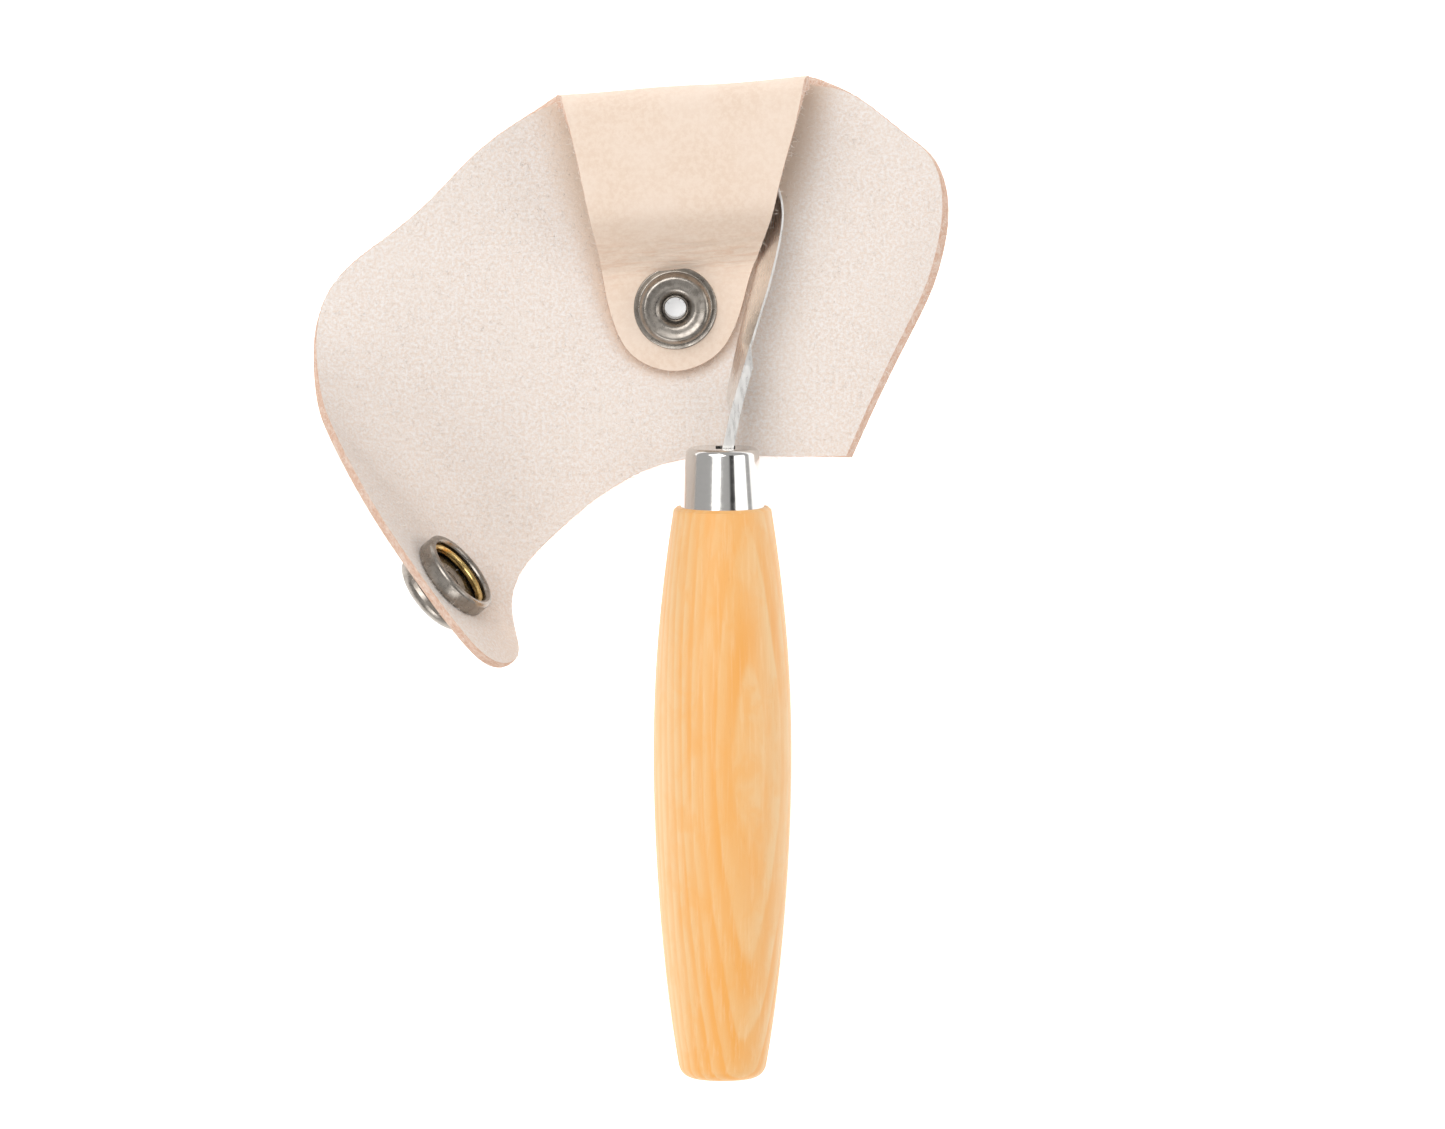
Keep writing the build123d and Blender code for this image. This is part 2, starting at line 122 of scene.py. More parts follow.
# How the hand-made leather departs from its plain shape, in millimetres
WAVE_SIZE, WAVE_DEPTH = 17.0, 0.28
LOOP_WAVE_SIZE, LOOP_WAVE_DEPTH = 15.0, 0.3
LEFT_CORNER_LIFT, RIGHT_CORNER_LIFT, CORNER_REACH = 0.16, 0.25, 9.0
PARING, PARED_WIDTH, PARING_RUN = 1.0, 3.2, 14.0
CREASE_DEPTH = 0.5
STRIP_IN = 5.0
TAB_SEAM = LEFT_ROLL["start"] + 4.4
LEFT_FOLD_SPREAD, RIGHT_FOLD_SPREAD = 3.8, 4.0
BEND_STEPS = 60
HOLE_STEPS = 32


def layout_origin():
    """Where the layout's zero lies in the frame, from the stud's place, in metres."""
    low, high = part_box("snap_stud")
    return np.array(((low.x + high.x) / 2, (low.y + high.y) / 2, low.z)) - np.array((*STUD, STUD_FOOT)) * MM


ORIGIN = layout_origin()


def in_frame(points):
    """Points of the layout, in millimetres, as points of the frame, in metres."""
    return np.asarray(points, float) * MM + ORIGIN


def unit(vector):
    """VECTOR at a length of one."""
    return np.array(vector, float) / np.linalg.norm(vector)


def smooth(value):
    """An even step from 0 to 1 as VALUE goes from 0 to 1."""
    t = np.clip(value, 0.0, 1.0)
    return t * t * (3 - 2 * t)


def spline(points, step):
    """Points about STEP apart on the natural cubic spline through POINTS."""
    p = np.array(points, float)
    t = np.concatenate(([0], np.cumsum(np.linalg.norm(np.diff(p, axis=0), axis=1))))
    h, n = np.diff(t), len(p)
    a, b = np.eye(n), np.zeros((n, 2))
    for i in range(1, n - 1):
        a[i, i - 1:i + 2] = h[i - 1], 2 * (h[i - 1] + h[i]), h[i]
        b[i] = 6 * ((p[i + 1] - p[i]) / h[i] - (p[i] - p[i - 1]) / h[i - 1])
    m = np.linalg.solve(a, b)
    s = np.linspace(0, t[-1], max(2, round(t[-1] / step) + 1))
    k = np.clip(np.searchsorted(t, s, side="right") - 1, 0, n - 2)
    u, v, w = (t[k + 1] - s)[:, None], (s - t[k])[:, None], h[k][:, None]
    return (m[k] * u**3 + m[k + 1] * v**3) / (6 * w) + (p[k] / w - m[k] * w / 6) * u + (
        p[k + 1] / w - m[k + 1] * w / 6) * v


# ---------------------------------------------------------------- how flat leather lies in space

FOLD_RUN = unit(FOLD_RIGHT - FOLD_LEFT)
FOLD_OUT = np.array((-FOLD_RUN[1], FOLD_RUN[0]))
FOLD_LENGTH = float(np.linalg.norm(FOLD_RIGHT - FOLD_LEFT))
BEND_OUTER = LOOP_HEIGHT / 2
BEND = BEND_OUTER - LEATHER / 2
UP = np.array((0.0, 0.0, 1.0))


def along_fold(points):
    """(distance along the top fold, distance past its outermost line) of level points."""
    rest = points - FOLD_LEFT
    return rest @ FOLD_RUN, rest @ FOLD_OUT


def level3(vector):
    """A level vector, with its height of zero added."""
    return np.array((*vector, 0.0))


def waves(points, size, depth):
    """Gentle hand-made unevenness of the leather."""
    return depth * np.array([noise.noise(Vector((x / size, y / size, 0.37))) for x, y in points])


def panel_place(points):
    """Middle and flesh-side normal of the leather at flat points of the panel and its wings."""
    p = np.asarray(points, float)
    middle = np.column_stack((p, np.full(len(p), LEATHER / 2)))
    normal = np.tile(UP, (len(p), 1))
    for roll in (LEFT_ROLL, RIGHT_ROLL):
        across = unit(roll["across"])
        past = p @ across - roll["start"]
        on = past > 0
        angle = np.minimum(past / roll["radius"], math.radians(roll["turn"]))[on]
        straight = past[on] - roll["radius"] * angle
        reach = roll["radius"] * np.sin(angle) + straight * np.cos(angle)
        rise = roll["radius"] * (1 - np.cos(angle)) + straight * np.sin(angle)
        middle[on] += np.outer(reach - past[on], level3(across)) + np.outer(rise, UP)
        normal[on] = np.outer(np.cos(angle), UP) - np.outer(np.sin(angle), level3(across))
    t, d = along_fold(p)
    lifted = np.where(t < FOLD_LENGTH / 2,
                      LEFT_CORNER_LIFT * (1 - smooth(-t / CORNER_REACH)),
                      RIGHT_CORNER_LIFT * (1 - smooth((t - FOLD_LENGTH) / CORNER_REACH)))
    q = np.clip(d + BEND_OUTER, 0, BEND * 0.93)
    arch = BEND - np.sqrt(BEND**2 - q**2)
    middle += np.outer(lifted * arch, UP)
    slope = lifted * q / np.sqrt(BEND**2 - q**2)
    normal -= np.outer(slope, level3(FOLD_OUT))
    normal /= np.linalg.norm(normal, axis=1)[:, None]
    fade = smooth((-BEND_OUTER - d) / 6.0)
    middle += normal * (waves(p, WAVE_SIZE, WAVE_DEPTH) * fade)[:, None]
    return middle, normal


def loop_profile():
    """(length along the leather, distance past the fold line, height) down the loop's middle."""
    bend = np.linspace(0, math.pi, BEND_STEPS + 1)
    d1, z1 = -BEND_OUTER + BEND * np.sin(bend), BEND_OUTER - BEND * np.cos(bend)
    d2 = np.linspace(-BEND_OUTER, -62.0, 400)[1:]
    top, low, ease = LOOP_HEIGHT - LEATHER / 2, 1.5 * LEATHER, 1.8
    grade = (top - low) / (LOOP_TOP_END - LOOP_SLOPE_END)

    def ramp(u):
        return (u + np.sqrt(u * u + ease * ease)) / 2

    z2 = low + grade * (ramp(d2 - LOOP_SLOPE_END) - ramp(d2 - LOOP_TOP_END))
    d, z = np.concatenate((d1, d2)), np.concatenate((z1, z2))
    s = np.concatenate(([0], np.cumsum(np.hypot(np.diff(d), np.diff(z)))))
    return s, d, z


LOOP_S, LOOP_D, LOOP_Z = loop_profile()
LOOP_SIDE = math.pi / 2 * BEND


def loop_place(points):
    """Middle and flesh-side normal of the leather at (along the fold, along the leather) points."""
    p = np.asarray(points, float)
    d, z = np.interp(p[:, 1], LOOP_S, LOOP_D), np.interp(p[:, 1], LOOP_S, LOOP_Z)
    ahead, behind = p[:, 1] + 0.3, p[:, 1] - 0.3
    slope = np.column_stack((np.interp(ahead, LOOP_S, LOOP_D) - np.interp(behind, LOOP_S, LOOP_D),
                             np.interp(ahead, LOOP_S, LOOP_Z) - np.interp(behind, LOOP_S, LOOP_Z)))
    slope /= np.linalg.norm(slope, axis=1)[:, None]
    level_place = FOLD_LEFT + np.outer(p[:, 0], FOLD_RUN) + np.outer(d, FOLD_OUT)
    normal = np.outer(-slope[:, 1], level3(FOLD_OUT)) + np.outer(slope[:, 0], UP)
    middle = np.column_stack((level_place, z))
    bulge = smooth(p[:, 1] / 12.0) * smooth((LOOP_S[-1] - p[:, 1] - 22.0) / 12.0)
    middle += normal * (waves(p, LOOP_WAVE_SIZE, LOOP_WAVE_DEPTH) * bulge)[:, None]
    return middle, normal


def loop_rim(step):
    """The loop's outline as (along the fold, along the leather) points."""
    edge = spline(FLAP_EDGE, step)
    t, d = along_fold(edge)
    keep = d < -BEND_OUTER + BEND * 0.98
    t, d = t[keep], d[keep]
    upper = LOOP_D <= -BEND_OUTER + BEND
    after = LOOP_S > LOOP_SIDE
    order = np.argsort(LOOP_D[upper & after])
    s = np.interp(d, LOOP_D[upper & after][order], LOOP_S[upper & after][order])
    return np.column_stack((t, s))


def cut_away(rim, point, outward, keep_outside):
    """RIM cut along a straight line, keeping one side of it."""
    side = (rim - point) @ outward * (1 if keep_outside else -1)
    kept = []
    for i in range(len(rim)):
        j = (i + 1) % len(rim)
        if side[i] >= 0:
            kept.append(rim[i])
        if side[i] * side[j] < 0:
            kept.append(rim[i] + (rim[j] - rim[i]) * side[i] / (side[i] - side[j]))
    return np.array(kept)


def filled_in(rim, step):
    """RIM with its long straight runs divided."""
    dense = []
    for a, b in zip(rim, np.roll(rim, -1, axis=0)):
        parts = max(1, math.ceil(np.linalg.norm(b - a) / step - 1e-6))
        dense += [a + (b - a) * k / parts for k in range(parts)]
    return np.array(dense)


def inside(points, rim):
    """Which points lie inside the closed RIM."""
    x, y = points[:, :1], points[:, 1:]
    ax, ay = rim[:, 0], rim[:, 1]
    bx, by = np.roll(ax, -1), np.roll(ay, -1)
    crosses = (ay > y) != (by > y)
    with np.errstate(divide="ignore", invalid="ignore"):
        at = ax + (y - ay) * (bx - ax) / (by - ay)
    return (np.sum(crosses & (x < at), axis=1) % 2).astype(bool)


def rim_distance(points, rim):
    """Each point's distance to the closed RIM."""
    a, b = rim, np.roll(rim, -1, axis=0)
    run = b - a
    size = np.maximum(np.sum(run * run, axis=1), 1e-12)
    best = np.full(len(points), 1e9)
    for i in range(len(a)):
        t = np.clip((points - a[i]) @ run[i] / size[i], 0, 1)
        best = np.minimum(best, np.linalg.norm(points - a[i] - t[:, None] * run[i], axis=1))
    return best


def flat_mesh(rim, holes, step):
    """Triangles over the inside of RIM, without the round HOLES."""
    low, high = rim.min(0), rim.max(0)
    rows = np.arange(low[1], high[1], step * 0.866)
    grid = np.array([(x + (k % 2) * step / 2, y) for k, y in enumerate(rows)
                     for x in np.arange(low[0], high[0], step)])
    grid = grid[inside(grid, rim)]
    grid = grid[rim_distance(grid, rim) > 0.55 * step]
    loops = [rim]
    for centre, radius in holes:
        grid = grid[np.linalg.norm(grid - centre, axis=1) > radius + 0.5 * step]
        turn = np.linspace(0, 2 * math.pi, HOLE_STEPS + 1)[:-1]
        loops.append(centre + radius * np.column_stack((np.cos(turn), np.sin(turn))))
    points, edges = [], []
    for loop in loops:
        first = len(points)
        points += list(loop)
        edges += [(first + i, first + (i + 1) % len(loop)) for i in range(len(loop))]
    points += list(grid)
    made = geometry.delaunay_2d_cdt([Vector(p) for p in points], edges, [], 1, 1e-6)
    flat = np.array([tuple(v) for v in made[0]])
    faces = [tuple(f) for f in made[2]]
    for centre, radius in holes:
        faces = [f for f in faces if np.linalg.norm(flat[list(f)].mean(0) - centre) > radius * 0.9]
    faces = [f if area(flat, f) > 0 else f[::-1] for f in faces]
    return flat, faces


def area(flat, face):
    """Twice a flat triangle's area, positive when its corners run counter-clockwise."""
    a, b, c = flat[face[0]], flat[face[1]], flat[face[2]]
    return (b[0] - a[0]) * (c[1] - a[1]) - (b[1] - a[1]) * (c[0] - a[0])


def open_edges(faces):
    """The border edges of a flat mesh, each with the mesh on its left."""
    used = dict.fromkeys((f[i], f[(i + 1) % 3]) for f in faces for i in range(3))
    return [e for e in used if (e[1], e[0]) not in used]


# A cut edge's section between its two sides: (height as a share of half the thickness, how far it stands out)
EDGE_SECTION = [(0.9, 0.04), (0.5, 0.09), (0.0, 0.11), (-0.5, 0.09), (-0.9, 0.04)]
EDGE_ROUGHNESS = 0.10


def cut_edge(flat, border, ring, place, below, seams):
    """Rows of points down a piece's cut edge, rounded and a little rough, but plain along its SEAMS."""
    out = np.zeros((len(flat), 2))
    for a, b in border:
        run = unit(flat[b] - flat[a])
        out[a] += (run[1], -run[0])
        out[b] += (run[1], -run[0])
    rim = flat[ring]
    outward = np.array([unit(out[i]) for i in ring])
    shift = place(rim + outward * 0.2)[0] - place(rim - outward * 0.2)[0]
    shift /= np.linalg.norm(shift, axis=1)[:, None]
    on_seam = np.zeros(len(ring), bool)
    for point, direction in seams:
        on_seam |= np.abs((rim - point) @ direction) < 1e-4
    middle, normal = place(flat)
    half, rows = LEATHER / 2, []
    for share, stand in EDGE_SECTION:
        rough = np.array([noise.noise(Vector((x * 2.3, y * 2.3, share * 3.0))) for x, y in rim])
        reach = np.where(on_seam, 0.0, stand + EDGE_ROUGHNESS * rough)
        height = (half - below[ring]) / 2 + share * (half + below[ring]) / 2
        rows.append(middle[ring] + normal[ring] * height[:, None] + shift * reach[:, None])
    return rows


def store(mesh, label, values):
    """Keeps one number for each of the mesh's points."""
    mesh.attributes.new(label, "FLOAT", "POINT").data.foreach_set("value", values.astype(np.float32))


def mark_sharp(mesh, edges):
    """Makes the listed EDGES sharp, so that light breaks along them."""
    index = {tuple(sorted(e.vertices)): e.index for e in mesh.edges}
    sharp = np.zeros(len(mesh.edges), bool)
    for a, b in edges:
        sharp[index[(min(a, b), max(a, b))]] = True
    mesh.attributes.new("sharp_edge", "BOOLEAN", "EDGE").data.foreach_set("value", sharp)


def leather_piece(name, rim, place, materials, step, holes=(), seams=(), shade=None, crinkle=None, thin=None):
    """A closed piece of leather over the flat outline RIM, laid in space by PLACE."""
    flat, faces = flat_mesh(filled_in(rim, step), holes, step)
    middle, normal = place(flat)
    count, half = len(flat), LEATHER / 2
    deep = crinkle(flat) if crinkle is not None else np.zeros(count)
    folds = np.array([noise.noise(Vector((x * 0.13, y * 0.85, 1.7))) for x, y in flat])
    below = half - deep * np.abs(folds) * CREASE_DEPTH - (thin(flat) if thin is not None else 0.0)
    border = open_edges(faces)
    ring = sorted({i for e in border for i in e})
    walls = cut_edge(flat, border, ring, place, below, seams)
    points = np.vstack([middle + normal * half, middle - normal * below[:, None], *walls])
    points[:, 2] = np.maximum(points[:, 2], 0.0)

    at = {v: k for k, v in enumerate(ring)}
    rows = [ring, *[[2 * count + len(ring) * k + i for i in range(len(ring))] for k in range(len(walls))],
            [count + i for i in ring]]
    quads = [(upper[at[a]], lower[at[a]], lower[at[b]], upper[at[b]])
             for upper, lower in zip(rows, rows[1:]) for a, b in border]
    all_faces = faces + [tuple(count + i for i in f[::-1]) for f in faces] + quads
    slots = np.array([FLESH] * len(faces) + [GRAIN] * len(faces) + [CUT] * len(quads), np.int32)
    mesh = bpy.data.meshes.new(name)
    mesh.from_pydata(in_frame(points).tolist(), [], all_faces)
    for material in materials:
        mesh.materials.append(material)
    mesh.polygons.foreach_set("material_index", slots)
    mesh.polygons.foreach_set("use_smooth", np.ones(len(all_faces), bool))

    heights = [half, -half, *[half * share for share, _ in EDGE_SECTION]]
    sources = [np.arange(count), np.arange(count), *[np.array(ring)] * len(walls)]
    skin = np.vstack([np.column_stack((flat[s], np.full(len(s), h))) for s, h in zip(sources, heights)])
    mesh.attributes.new("skin", "FLOAT_VECTOR", "POINT").data.foreach_set(
        "vector", (skin * MM).astype(np.float32).ravel())
    dark = shade(flat) if shade is not None else np.zeros(count)
    store(mesh, "shade", np.concatenate([dark[s] for s in sources]))
    store(mesh, "crinkle", np.concatenate([deep[s] for s in sources]))
    mark_sharp(mesh, [(row[at[a]], row[at[b]]) for row in (rows[0], rows[-1]) for a, b in border])
    obj = bpy.data.objects.new(name, mesh)
    bpy.context.scene.collection.objects.link(obj)
    return obj


# ---------------------------------------------------------------- materials


def paint(red, green, blue):
    """A colour given as 8-bit sRGB, in the linear values that shaders use."""
    return tuple(((c / 255 + 0.055) / 1.055) ** 2.4 for c in (red, green, blue))


def feed(links, socket, value):
    """Gives a node's input a link, or a plain value with a colour's missing alpha added."""
    if isinstance(value, bpy.types.NodeSocket):
        links.new(value, socket)
        return
    usual = getattr(socket, "default_value", 0.0)
    if hasattr(value, "__len__") and hasattr(usual, "__len__") and len(usual) == 4:
        value = (*value[:3], 1.0)
    socket.default_value = value


class Tree:
    """A material's node tree, with one short call for each node."""

    def __init__(self, name):
        self.material = bpy.data.materials.new(name)
        self.material.use_nodes = True
        self.nodes, self.links = self.material.node_tree.nodes, self.material.node_tree.links
        self.nodes.clear()

    def add(self, kind, settings=None, **inputs):
        node = self.nodes.new(kind)
        for key, value in (settings or {}).items():
            setattr(node, key, value)
        for key, value in inputs.items():
            feed(self.links, node.inputs[int(key[1:]) if key[0] == "_" else key.replace("_", " ")], value)
        return node

    def math(self, operation, a, b=0.0):
        """A sum, product or other OPERATION on A and B."""
        return self.add("ShaderNodeMath", {"operation": operation}, _0=a, _1=b).outputs[0]

    def stretched(self, coordinates, scale, turn=(0.0, 0.0, 0.0)):
        """COORDINATES scaled by a factor of their own on each axis."""
        return self.add("ShaderNodeMapping", Vector=coordinates, Scale=scale, Rotation=turn).outputs[0]

    def noise(self, coordinates, scale, detail=3.0, roughness=0.55, distortion=0.0):
        """A smooth random value."""
        return self.add("ShaderNodeTexNoise", Vector=coordinates, Scale=scale, Detail=detail,
                        Roughness=roughness, Distortion=distortion).outputs[0]

    def span(self, value, low, high, to_low=0.0, to_high=1.0):
        """VALUE eased from TO_LOW at LOW to TO_HIGH at HIGH."""
        return self.add("ShaderNodeMapRange", {"interpolation_type": "SMOOTHSTEP"}, Value=value,
                        From_Min=low, From_Max=high, To_Min=to_low, To_Max=to_high).outputs[0]

    def mix(self, factor, a, b):
        """Colour A turned into colour B by FACTOR."""
        node = self.add("ShaderNodeMix", {"data_type": "RGBA"})
        for socket, value in ((0, factor), (6, a), (7, b)):
            feed(self.links, node.inputs[socket], value)
        return node.outputs[2]

    def bump(self, height, strength, distance):
        """A surface roughened by HEIGHT."""
        return self.add("ShaderNodeBump", Height=height, Strength=strength, Distance=distance).outputs[0]

    def finish(self, **inputs):
        """The material, with its shader's INPUTS set."""
        shader = self.add("ShaderNodeBsdfPrincipled", **inputs)
        self.add("ShaderNodeOutputMaterial", Surface=shader.outputs[0])
        return self.material


def flesh_material(settings):
    """The fuzzy inner side of the leather."""
    tree = Tree("leather_flesh")
    skin = tree.add("ShaderNodeAttribute", {"attribute_name": "skin"}).outputs["Vector"]
    shade = tree.add("ShaderNodeAttribute", {"attribute_name": "shade"}).outputs["Fac"]
    fleck = tree.noise(skin, 1700.0, 6.0, 0.78)
    cloud = tree.noise(skin, 120.0, 4.0, 0.6)
    strand = tree.noise(tree.stretched(skin, (900.0, 2600.0, 900.0), (0, 0, 0.6)), 1.0, 5.0, 0.7, 0.6)
    colour = tree.mix(tree.span(fleck, 0.40, 0.62), settings.flesh_fleck, settings.flesh)
    colour = tree.mix(tree.span(strand, 0.52, 0.74, 0.0, 0.35), colour, settings.flesh_strand)
    colour = tree.mix(tree.span(cloud, 0.45, 0.75, 0.0, 0.35), colour, settings.flesh_cloud)
    # Painted shade beside and under the flap's edges, carried by the shade attribute.
    colour = tree.mix(shade, colour, settings.flesh_shade)
    height = tree.math("ADD", fleck, tree.math("MULTIPLY", strand, 0.7))
    return tree.finish(Base_Color=colour, Roughness=0.95, Specular_IOR_Level=0.12, Sheen_Weight=0.15,
                       Sheen_Roughness=0.6, Normal=tree.bump(height, 0.55, 0.00018))


def grain_material(settings):
    """The smooth outer side of the leather."""
    tree = Tree("leather_grain")
    skin = tree.add("ShaderNodeAttribute", {"attribute_name": "skin"}).outputs["Vector"]
    deep = tree.add("ShaderNodeAttribute", {"attribute_name": "crinkle"}).outputs["Fac"]
    pore = tree.noise(skin, 1300.0, 4.0, 0.6)
    cloud = tree.noise(skin, 90.0, 3.0, 0.5)
    lines = tree.noise(tree.stretched(skin, (150.0, 1100.0, 150.0), (0, 0, -0.12)), 1.0, 5.0, 0.6, 0.8)
    crease = tree.span(lines, 0.47, 0.60)
    colour = tree.mix(tree.span(pore, 0.35, 0.65), settings.grain_pore, settings.grain)
    colour = tree.mix(tree.span(cloud, 0.40, 0.70, 0.0, 0.5), colour, settings.grain_cloud)
    # Painted shade: the creases' bottoms darkened where the crinkle attribute is strong.
    colour = tree.mix(tree.math("MULTIPLY", tree.math("MULTIPLY", deep, crease), 0.35), colour,
                      settings.grain_crease_shade)
    wrinkled = tree.math("ADD", tree.math("MULTIPLY", deep, 2.2), 0.25)
    height = tree.math("ADD", tree.math("MULTIPLY", pore, 0.25), tree.math("MULTIPLY", lines, wrinkled))
    return tree.finish(Base_Color=colour, Roughness=0.58, Specular_IOR_Level=0.35,
                       Normal=tree.bump(height, 0.5, 0.00016))


def cut_material(settings):
    """The fibrous cut edge of the leather."""
    tree = Tree("leather_cut")
    skin = tree.add("ShaderNodeAttribute", {"attribute_name": "skin"}).outputs["Vector"]
    fibre = tree.noise(tree.stretched(skin, (1900.0, 1900.0, 3200.0)), 1.0, 6.0, 0.75, 0.7)
    patch = tree.noise(skin, 700.0, 3.0, 0.6)
    colour = tree.mix(tree.span(fibre, 0.36, 0.66), settings.cut_dark, settings.cut)
    colour = tree.mix(tree.span(patch, 0.45, 0.7, 0.0, 0.6), colour, settings.cut_pale)
    return tree.finish(Base_Color=colour, Roughness=0.9, Specular_IOR_Level=0.15,
                       Normal=tree.bump(fibre, 0.7, 0.0002))


def wood_material(settings, axis):
    """Oiled birch, with its growth rings nearly level across the handle, whose middle is at x = AXIS."""
    tree = Tree("birch")
    place = tree.add("ShaderNodeTexCoord").outputs["Object"]
    slow = tree.noise(tree.stretched(place, (45.0, 9.0, 45.0)), 1.0, 2.0, 0.5)
    wander = tree.noise(tree.stretched(place, (160.0, 28.0, 160.0)), 1.0, 3.0, 0.5)
    tilt = math.radians(settings.ring_tilt)
    toward = tree.add("ShaderNodeVectorMath", {"operation": "DOT_PRODUCT"}, _0=place,
                      _1=(math.sin(tilt), 0.012, math.cos(tilt))).outputs["Value"]
    rings = tree.math("DIVIDE", toward, settings.ring_spacing)
    rings = tree.math("ADD", rings, tree.math("MULTIPLY", slow, 2.6))
    rings = tree.math("ADD", rings, tree.math("MULTIPLY", wander, 0.7))
    saw = tree.math("FRACT", rings)
    late = tree.math("MULTIPLY", tree.span(saw, 0.05, 0.78), tree.span(saw, 1.0, 0.86))
    pores = tree.noise(tree.stretched(place, (5200.0, 260.0, 5200.0)), 1.0, 3.0, 0.7)
    fibre = tree.noise(tree.stretched(place, (1500.0, 60.0, 1500.0)), 1.0, 4.0, 0.65)
    figure = tree.noise(tree.stretched(place, (230.0, 110.0, 230.0), (0, 0, 0.35)), 1.0, 3.0, 0.6, 0.5)
    bands = tree.noise(tree.stretched(place, (110.0, 22.0, 110.0)), 1.0, 2.0, 0.5)
    fade = tree.span(bands, 0.35, 0.65, 0.35, 1.0)
    colour = tree.mix(tree.math("MULTIPLY", late, fade), settings.wood_early, settings.wood_late)
    colour = tree.mix(tree.span(figure, 0.42, 0.66, 0.0, 0.45), colour, settings.wood_figure)
    # Painted light of the round handle: deeper colour along its middle, paler towards both sides where its
    # edges catch the light.
    beside = tree.math("SUBTRACT", tree.add("ShaderNodeSeparateXYZ", Vector=place).outputs[0], axis)
    side = tree.math("ADD", tree.math("ABSOLUTE", beside), tree.math("MULTIPLY", slow, 0.004))
    colour = tree.mix(tree.span(side, 0.003, 0.0125, 0.55, 0.0), colour, settings.wood_round_shading)
    colour = tree.mix(tree.span(side, 0.007, 0.014, 0.0, 0.4), colour, settings.wood_early)
    colour = tree.mix(tree.span(fibre, 0.48, 0.72, 0.0, 0.35), colour, settings.wood_fibre)
    colour = tree.mix(tree.span(pores, 0.60, 0.74, 0.0, 0.35), colour, settings.wood_pore)
    height = tree.math("ADD", tree.math("MULTIPLY", pores, 0.5), fibre)
    return tree.finish(Base_Color=colour, Roughness=0.48, Specular_IOR_Level=0.35, Coat_Weight=0.08,
                       Coat_Roughness=0.3, Normal=tree.bump(height, 0.18, 0.00008))


def metal_material(name, colour, dark, roughness, brush_scale, brush_depth, wear):
    """A metal with darker patches, brushed across the direction of BRUSH_SCALE's largest value."""
    tree = Tree(name)
    place = tree.add("ShaderNodeTexCoord").outputs["Object"]
    brush = tree.noise(tree.stretched(place, brush_scale), 1.0, 4.0, 0.6)
    cloud = tree.noise(place, 700.0, 4.0, 0.65)
    tone = tree.mix(tree.span(cloud, 0.42, 0.68, 0.0, wear), colour, dark)
    rough = tree.span(brush, 0.3, 0.7, roughness * 0.8, roughness * 1.25)
    return tree.finish(Base_Color=tone, Metallic=1.0, Roughness=rough,
                       Normal=tree.bump(brush, brush_depth, 0.00004))


def fibre_material(settings):
    """The leather's loose fibres."""
    tree = Tree("leather_fibre")
    return tree.finish(Base_Color=settings.fibre, Roughness=0.9, Specular_IOR_Level=0.1)


